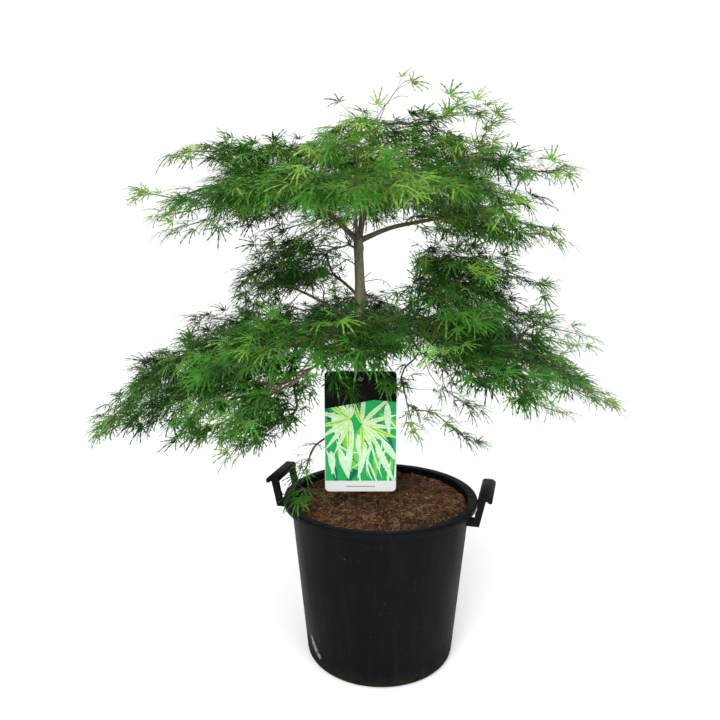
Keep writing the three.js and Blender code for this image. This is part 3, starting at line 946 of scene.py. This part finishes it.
# Twig radius: tipRadius * (buds carried)^pipe, thinning from its parent's to its own
def makeTwigs(routes, load, parent, first):
    child = np.arange(first, len(parent))
    radius = growth["tipRadius"] * load ** growth["pipe"]
    onLimb, onTwig = growth["taper"]
    tip = radius[child]
    base = np.where(parent[child] >= first, radius[parent[child]], tip * onLimb)
    base = np.minimum(base, tip * onTwig)
    blend = np.linspace(0, 1, routes.shape[1])[None]
    radii = np.minimum(base[:, None] * (1 - blend) + tip[:, None] * blend, growth["thickest"])
    twig = makeFinish("twig bark", **bark["twig"])
    meshPiece("twigs", *bundledTubes(routes, radii, growth["twigSides"]), twig, "bark")
    print(len(routes), "twigs")


# Leaves

leafShape = {
    "length": 0.048,
    "size": (0.72, 1.12),
    "variants": 6,
    "lobes": [(0, 1.0, 3), (25, 0.95, 3), (-25, 0.95, 3), (52, 0.8, 3), (-52, 0.8, 3),
              (82, 0.55, 2), (-82, 0.55, 2)],  # turn, share of the length, pairs of teeth
    "teethFrom": 0.05,
    "teethTo": 0.72,
    "toothReach": 0.046,
    "toothFall": 0.8,
    "toothSlant": 0.28,
    "notch": 0.016,
    "droop": 0.33,
    "petiole": (0.012, 0.034),
    "petioleRadius": 0.00042,
    "leavesInPiece": 2300,
}
leafStand = {
    "petiole": {"along": 0.5, "side": 0.8, "outward": 0.20, "rise": 0.04},
    "blade": {"petiole": 0.85, "outward": 0.30, "sag": 0.14},
    "outwardFace": 0.25,
    "wander": 0.16,
    "faceWander": 0.30,
    "cardGap": 0.012,
}
# Leaf colours, lowest score first: the deep tone carries painted shade inside the crown, the fresh and
# lime tones carry painted light at its outside, its top and on the strands, over tone that differs at
# random
tones = {
    "leavesOlive": ((0.035, 0.080, 0.009), "leaves_deep"),
    "leavesDeepShaded": ((0.009, 0.047, 0.004), "leaves_deep"),
    "leavesMid": ((0.037, 0.148, 0.014), "leaves_mid"),
    "leavesFreshLit": ((0.096, 0.246, 0.030), "leaves_fresh"),
    "leavesLimeLit": ((0.155, 0.285, 0.036), "leaves_fresh"),
}
# Score for the tones: distance out from the centre, height and the strand bonus add painted light, and
# a low score gives painted shade; patches and family are random tone
shadeAndToneShare = {
    "centre": (-0.03, 0.02, 0.70),
    "reach": (0.52, 0.50, 0.36),
    "patches": 0.35,
    "family": 0.6,
    "height": 0.5,
    "strandLight": 0.5,
    "cuts": [0.05, 0.29, 0.70, 0.93],
}


# One lobe, flat, as a row of barbs: from notch to notch along the rib, with a pair of teeth that
# point forwards, and a plain point at the end. Teeth shorten as 1 - toothFall * along
def lobePoints(length, teeth):
    stations = np.linspace(leafShape["teethFrom"], leafShape["teethTo"], teeth + 1)
    step = stations[1] - stations[0]
    notch = leafShape["notch"] * (1.15 - stations)
    reach = leafShape["toothReach"] * (1 - leafShape["toothFall"] * stations[:-1])
    tipAlong = stations[1:] + leafShape["toothSlant"] * step
    points = [(stations[0], notch[0]), (stations[0], -notch[0])]
    faces = []
    for k in range(teeth):
        base = 2 + 4 * k
        left, right = (0, 1) if k == 0 else (base - 2, base - 1)
        points += [(tipAlong[k], reach[k] + notch[k]), (tipAlong[k], -reach[k] - notch[k]),
                   (stations[k + 1], notch[k + 1]), (stations[k + 1], -notch[k + 1])]
        faces.append([left, right, base + 1, base + 3, base + 2, base])
    points.append((1.0, 0.0))
    last = len(points) - 1
    faces.append([last - 2, last - 1, last])
    return np.array(points) * length, faces


# A leaf: lobes fanned from the petiole's end, falling away by droop * (distance squared), each
# lobe curling a little to its own side. Forward is +X and the upper face looks along +Z
def leafTemplate(rng):
    points, corners, sizes = [], [], []
    length = leafShape["length"]
    spread = rng.uniform(0.85, 1.1)
    droop = leafShape["droop"] * rng.uniform(0.6, 1.5)
    for angle, share, teeth in leafShape["lobes"]:
        flat, faces = lobePoints(length * share * rng.uniform(0.88, 1.12), teeth)
        turn = math.radians(angle * spread + rng.uniform(-5, 5))
        curl = rng.uniform(-0.35, 0.35) + 0.5 * math.sin(turn)
        distance = flat[:, 0]
        bend = turn + curl * distance / length * 0.5
        x = distance * np.cos(bend) - flat[:, 1] * np.sin(bend)
        y = distance * np.sin(bend) + flat[:, 1] * np.cos(bend)
        fall = droop * rng.uniform(0.7, 1.4) / length
        z = rng.uniform(0.02, 0.20) * distance - fall * distance**2
        offset = sum(len(p) for p in points)
        points.append(np.stack([x, y, z], axis=1))
        corners += [corner + offset for face in faces for corner in face]
        sizes += [len(face) for face in faces]
    return np.concatenate(points), np.array(corners), np.array(sizes)


# Where leaves stand: an opposite pair near each shoot's end, turned across it, one more halfway
# along a longer shoot, and an end leaf where no shoot goes on. Returns the shoot, the share of the
# way along it and the turn round it, which an end leaf hasn't
def leafSeats(routes, children, first, rng):
    phase = rng.uniform(0, math.pi, len(routes))
    span = np.linalg.norm(np.diff(routes, axis=1), axis=-1).sum(axis=1)
    rows = []
    for share, chosen in ((0.98, span > 0), (0.5, span > 0.022)):
        index = np.nonzero(chosen)[0]
        for half in (0.0, math.pi):
            turn = phase[index] + half + share * math.pi + rng.normal(0, 0.25, len(index))
            rows.append((index, np.full(len(index), share), turn))
    index = np.nonzero(children[first:] == 0)[0]
    rows.append((index, np.full(len(index), 1.0), np.full(len(index), np.nan)))
    return [np.concatenate(column) for column in zip(*rows)]


# Petiole and blade directions: the petiole leaves the shoot sideways and forwards, the blade
# leans out from the trunk and hangs
def placeLeaves(routes, shoots, along, turns, rng):
    steps = routes.shape[1]
    position = along * (steps - 1)
    k = np.minimum(position.astype(int), steps - 2)
    t = (position - k)[:, None]
    seat = routes[shoots, k] * (1 - t) + routes[shoots, k + 1] * t
    axis = unit(routes[shoots, k + 1] - routes[shoots, k])
    side = unit(np.cross(axis, up) + 1e-4)
    rise = np.cross(side, axis)
    turn = np.nan_to_num(turns)[:, None]
    lateral = side * np.cos(turn) + rise * 0.3 * np.sin(turn)
    lateral[np.isnan(turns)] = 0
    out = outwardOf(seat)
    stalk, blade = leafStand["petiole"], leafStand["blade"]
    wander = rng.normal(0, leafStand["wander"], seat.shape)
    petiole = unit(stalk["along"] * axis + stalk["side"] * lateral + stalk["outward"] * out
                   + stalk["rise"] * up + wander)
    base = seat + petiole * rng.uniform(*leafShape["petiole"], len(seat))[:, None]
    wander = rng.normal(0, leafStand["wander"], seat.shape)
    forward = unit(blade["petiole"] * petiole + blade["outward"] * out - blade["sag"] * up + wander)
    wander = rng.normal(0, leafStand["faceWander"], seat.shape)
    facing = up + leafStand["outwardFace"] * out + wander
    normal = unit(facing - forward * (facing * forward).sum(axis=1, keepdims=True))
    frames = np.stack([forward, np.cross(normal, forward), normal], axis=1)
    return seat, base, frames


# Leaves that stay on one side of the label, or pass beside it
def clearOfCard(base, tip):
    low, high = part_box("label")
    margin = leafStand["cardGap"]
    beside = (base[:, 0] < low.x - margin) | (base[:, 0] > high.x + margin)
    beyond = (base[:, 2] < low.z - margin) | (tip[:, 2] > high.z + margin)
    front = np.maximum(base[:, 1], tip[:, 1]) < low.y - margin / 3
    back = np.minimum(base[:, 1], tip[:, 1]) > high.y + margin / 3
    return beside | beyond | front | back


# Tone of each shoot's spray, partly painted light and shade: painted shade darkens it within the crown
# and low down, painted light makes it paler at the crown's outside, higher up and on the strands,
# whose buds come first; patches and families vary it at random
def shadeAndToneOf(place, parent, first, rng):
    buds = place[first:]
    rule = shadeAndToneShare
    outer = np.linalg.norm((buds - rule["centre"]) / rule["reach"], axis=1)
    family = rng.normal(0, 1, len(place))
    # painted light and shade: outer and higher leaves score higher and take the paler tones, inner and
    # lower ones the darker
    score = (outer + rule["patches"] * waveNoise(buds, 9, 21) + rule["height"] * buds[:, 2]
             + rule["family"] * (family[parent[first:]] * 0.6 + family[first:] * 0.4))
    # painted light: the strands are lifted to the paler tones
    score[:sum(row[6] for row in strands)] += rule["strandLight"]
    return np.searchsorted(np.quantile(score, rule["cuts"]), score)


def makeLeaves(place, parent, first, routes, children):
    rng = np.random.default_rng(growth["seed"] + 2)
    templates = [leafTemplate(rng) for _ in range(leafShape["variants"])]
    shoots, along, turns = leafSeats(routes, children, first, rng)
    seat, base, frames = placeLeaves(routes, shoots, along, turns, rng)
    reach = frames[:, 0] * leafShape["length"]
    clear = clearOfCard(base, base + reach) & (keptShare(base + reach * 0.6) > 0)
    shoots, seat, base, frames = (rows[clear] for rows in (shoots, seat, base, frames))
    tone = shadeAndToneOf(place, parent, first, rng)[shoots]
    variant = rng.integers(0, len(templates), len(seat))
    size = rng.uniform(*leafShape["size"], len(seat))
    radii = np.full((len(seat), 2), leafShape["petioleRadius"])
    meshPiece("stalks", *bundledTubes(np.stack([seat, base], axis=1), radii, 3),
              matteFinish("leaf stalk", (0.14, 0.17, 0.045), 0.6), "leaves_mid")
    masses = [name for name in nodes if name.startswith("foliage_")]
    for index, (name, (color, slot)) in enumerate(tones.items()):
        shapes = []
        for v, (points, corners, sizes) in enumerate(templates):
            chosen = np.nonzero((tone == index) & (variant == v))[0]
            placed = np.einsum("pi,nij->npj", points, frames[chosen])
            placed = placed * size[chosen, None, None] + base[chosen, None]
            shapes += [(leaf, corners, sizes) for leaf in placed]
        finish = leafFinish(name, color)
        for part, side in enumerate(sharedOut(shapes, leafShape["leavesInPiece"])):
            piece = meshPiece(f"{name}{part + 1}", *side, finish, slot, smooth=False)
            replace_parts(piece, *masses)
        print(name, int((tone == index).sum()), "leaves")


# Joins shapes in runs of at most so many
def sharedOut(shapes, most):
    parts = math.ceil(len(shapes) / most)
    cuts = np.linspace(0, len(shapes), parts + 1).astype(int)
    return [joined(shapes[a:b]) for a, b in zip(cuts[:-1], cuts[1:])]


def leafFinish(name, color):
    darker = tuple(c * 0.68 for c in color)
    paler = tuple(c * 1.5 + 0.02 for c in color)
    return makeFinish(name, color, 0.6, Specular_IOR_Level=0.1, tints=[
        (*mottle(14, 0.4, 0.65), darker, 0.8), (*mottle(45, 0.55, 0.75), paler, 0.5)])


def makeFoliage():
    buds = sproutBuds()
    print("buds", len(buds))
    place, heading, parent, first = growShoots(buds)
    load, children = loadOf(parent, first)
    routes = shootRoutes(place, heading, parent, first)
    makeTwigs(routes, load, parent, first)
    makeLeaves(place, parent, first, routes, children)


# The hanging label: a printed card with a drawn leaf picture

label = {
    "strip": 0.0222,
    "border": [(0.0, 0.170), (0.098, 0.188), (0.142, 0.184)],
    "inset": 0.0008,
    "hole": (0.071, 0.231, 0.005),
    "corner": 0.009,
    "inkStep": 0.00012,
    "dimBlades": 26,
    "slivers": 18,
    "seed": 3,
    "fans": [
        ((0.051, 0.150), [172, 196, 214, 231, 247, 262, 277, 98, 121, 148, 74]),
        ((0.073, 0.139), [-6, -24, -38, -52, -68, -84, 16, 48, 84, 110]),
    ],
    "behind": [  # across, up, turn, length
        (0.018, 0.165, -84, 0.06), (0.124, 0.184, -92, 0.07), (0.080, 0.105, -96, 0.08),
        (0.100, 0.100, -64, 0.09), (0.112, 0.108, -52, 0.06), (0.052, 0.100, -100, 0.075),
        (0.030, 0.090, -78, 0.065), (0.012, 0.085, -84, 0.05), (0.066, 0.120, -82, 0.06),
    ],
    "nameLine": {"from": 0.042, "to": 0.100, "up": 0.0105, "half": 0.0009},
    "card": {"color": (0.41, 0.42, 0.41), "roughness": 0.4, "Specular_IOR_Level": 0.15,
             "tints": [(*mottle(30, 0.4, 0.7), (0.37, 0.38, 0.37), 0.5)]},
    "tie": {"color": (0.02, 0.42, 0.36), "roughness": 0.45,
            "tints": [(*mottle(120, 0.4, 0.7), (0.05, 0.55, 0.48), 0.6)]},
}
inks = {
    "inkGreen": (0.012, 0.230, 0.055),
    "inkTeal": (0.005, 0.085, 0.050),
    "inkLeaf": (0.095, 0.33, 0.040),
    "inkPale": (0.35, 0.49, 0.34),
    "inkLime": (0.32, 0.43, 0.11),
    "inkBlack": (0.0012, 0.0012, 0.0015),
    "inkGrey": (0.16, 0.16, 0.16),
}


# Keeps (u, v) rows on the printed picture: inside the sides, above the strip, under the border
def onPicture(rows):
    borderU, borderV = np.array(label["border"]).T
    u = np.clip(rows[..., 0], label["inset"], borderU[-1] - label["inset"])
    v = np.clip(rows[..., 1], label["strip"], np.interp(u, borderU, borderV))
    return np.stack([u, v], axis=-1)


# Places (u, v) rows, measured from the card's lower left corner, on its front at an ink level
def onCard(rows, level):
    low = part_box("label")[0]
    depth = np.full(rows.shape[:-1], low.y - level * label["inkStep"])
    return np.stack([low.x + rows[..., 0], depth, low.z + rows[..., 1]], axis=-1)


# A blade: a strip along a bending line, half as wide as width * sin(pi * along^0.7), its edge
# notched by a saw wave
def bladeRows(start, turn, length, width, bend, teeth=11, steps=45):
    along = np.linspace(0, 1, steps)
    heading = math.radians(turn) + bend * along
    line = np.stack([np.cos(heading), np.sin(heading)], axis=1) * length / steps
    line = np.array(start) + np.cumsum(line, axis=0)
    half = width / 2 * np.sin(np.pi * along**0.7) * (1 - 0.3 * ((along * teeth) % 1)) + 0.0003
    across = np.stack([-np.sin(heading), np.cos(heading)], axis=1) * half[:, None]
    return np.stack([line - across, line + across], axis=1)


def stripShape(rows, level):
    points = onCard(rows, level).reshape(-1, 3)
    quads = gridQuads(len(rows), 2, ring=False)
    return points, quads[:, ::-1].ravel(), np.full(len(quads), 4)


def bladeShape(start, turn, length, width, bend, level):
    return stripShape(onPicture(bladeRows(start, turn, length, width, bend)), level)


# A level band of ink between a lower and an upper (u, v) line with the same number of points
def bandShape(lower, upper, level):
    return stripShape(np.stack([lower, upper], axis=1)[:, ::-1], level)


# Each ink's shapes, from the ground up: dim blades, blades behind, slivers, then two fanned
# leaves with their veins
def printedPicture():
    rng = np.random.default_rng(label["seed"])
    border, inset = np.array(label["border"]), label["inset"]
    u = np.linspace(inset, border[-1, 0] - inset, 25)
    top = np.stack([u, np.interp(u, border[:, 0], border[:, 1])], axis=1)
    foot = np.stack([u, np.full(25, label["strip"])], axis=1)
    layers = {name: [] for name in inks}
    layers["inkGreen"].append(bandShape(foot, top, 1))

    def draw(ink, *blade):
        layers[ink].append(bladeShape(*blade))

    for k in range(label["dimBlades"]):
        start = rng.uniform((0.0, 0.03), (0.14, 0.18))
        turn = -90 + rng.normal(0, 40)
        length, bend = rng.uniform(0.03, 0.07), rng.normal(0, 0.3)
        draw(("inkTeal", "inkLeaf")[k % 2], start, turn, length, 0.012, bend, 2 + k % 2 + 0.03 * k)
    for k, (across, rise, turn, length) in enumerate(label["behind"]):
        draw("inkPale", (across, rise), turn, length, 0.015, rng.normal(0, 0.15), 4 + 0.1 * k)
    for k in range(label["slivers"]):
        start = rng.uniform((0.0, 0.05), (0.14, 0.17))
        turn, length, bend = rng.uniform(-140, -40), rng.uniform(0.04, 0.08), rng.normal(0, 0.5)
        draw("inkPale", start, turn, length, 0.0035, bend, 4.92 + 0.004 * k)
    for centre, turns in label["fans"]:
        for k, turn in enumerate(turns):
            length, bend = rng.uniform(0.062, 0.088), rng.normal(0, 0.2)
            ink, vein = ("inkLime", "inkLeaf") if k % 4 == 1 else ("inkPale", "inkLime")
            draw(ink, centre, turn, length, 0.0095, bend, 5 + 0.2 * k)
            draw(vein, centre, turn, length * 0.85, 0.0022, bend, 5.1 + 0.2 * k)
    return layers


# The black header: a sheet of ink from the hole's edge out to the border and the card's edge
def headerShape():
    low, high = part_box("label")
    border = np.array(label["border"])
    width, height = border[-1, 0], high.z - low.z
    holeU, holeV, radius = label["hole"]
    inset, corner = 0.0006, label["corner"]
    topLeft = arcPoints((corner, height - corner), corner - inset, 180, 90, 9)
    topRight = arcPoints((width - corner, height - corner), corner - inset, 90, 0, 9)
    left, right = border[0] + (inset, 0), border[2] - (inset, 0)
    outer = np.concatenate([topLeft, topRight, np.linspace(topRight[-1], right, 8)[1:],
                            np.linspace(right, border[1], 10)[1:],
                            np.linspace(border[1], left, 16)[1:],
                            np.linspace(left, topLeft[0], 10)[1:-1]])
    turn = np.arctan2(outer[:, 1] - holeV, outer[:, 0] - holeU)
    inner = np.stack([holeU + radius * np.cos(turn), holeV + radius * np.sin(turn)], axis=1)
    quads = gridQuads(2, len(outer))
    return onCard(np.stack([outer, inner]), 1).reshape(-1, 3), quads.ravel(), np.full(len(quads), 4)


def makeLabel():
    card = makeFinish("label card", **label["card"])
    nodes["label"].material_slots[0].material = card
    tie = makeFinish("label tie", **label["tie"])
    nodes["label_strap"].material_slots[0].material = tie
    layers = printedPicture()
    layers["inkBlack"].append(headerShape())
    facts = label["nameLine"]
    line = np.stack([np.linspace(facts["from"], facts["to"], 4), np.full(4, facts["up"])], axis=1)
    layers["inkGrey"].append(bandShape(line - (0, facts["half"]), line + (0, facts["half"]), 1))
    for name, shapes in layers.items():
        softer = tuple(0.75 * c for c in inks[name])
        ink = makeFinish(name, inks[name], 0.5, Specular_IOR_Level=0.04,
                         tints=[(*mottle(130, 0.4, 0.65), softer, 0.7)])
        meshPiece(name, *joined(shapes), ink, "label_card", smooth=False)
    print("label printed in", len(layers), "inks")


# Floor

def makeFloor():
    mesh = bpy.data.meshes.new("floor")
    mesh.from_pydata([(-9, -9, 0), (9, -9, 0), (9, 9, 0), (-9, 9, 0)], [], [(0, 1, 2, 3)])
    mesh.materials.append(makeFinish("floor", (0.96, 0.96, 0.96), 0.9))
    floor = addObject("floor", mesh)
    floor.location.z = -0.0005


addStudio()
makeFloor()
plastic = potPlastic()
makePot(plastic)
makeHandles(plastic)
makeMix()
makeLimbs()
makeFoliage()
makeLabel()
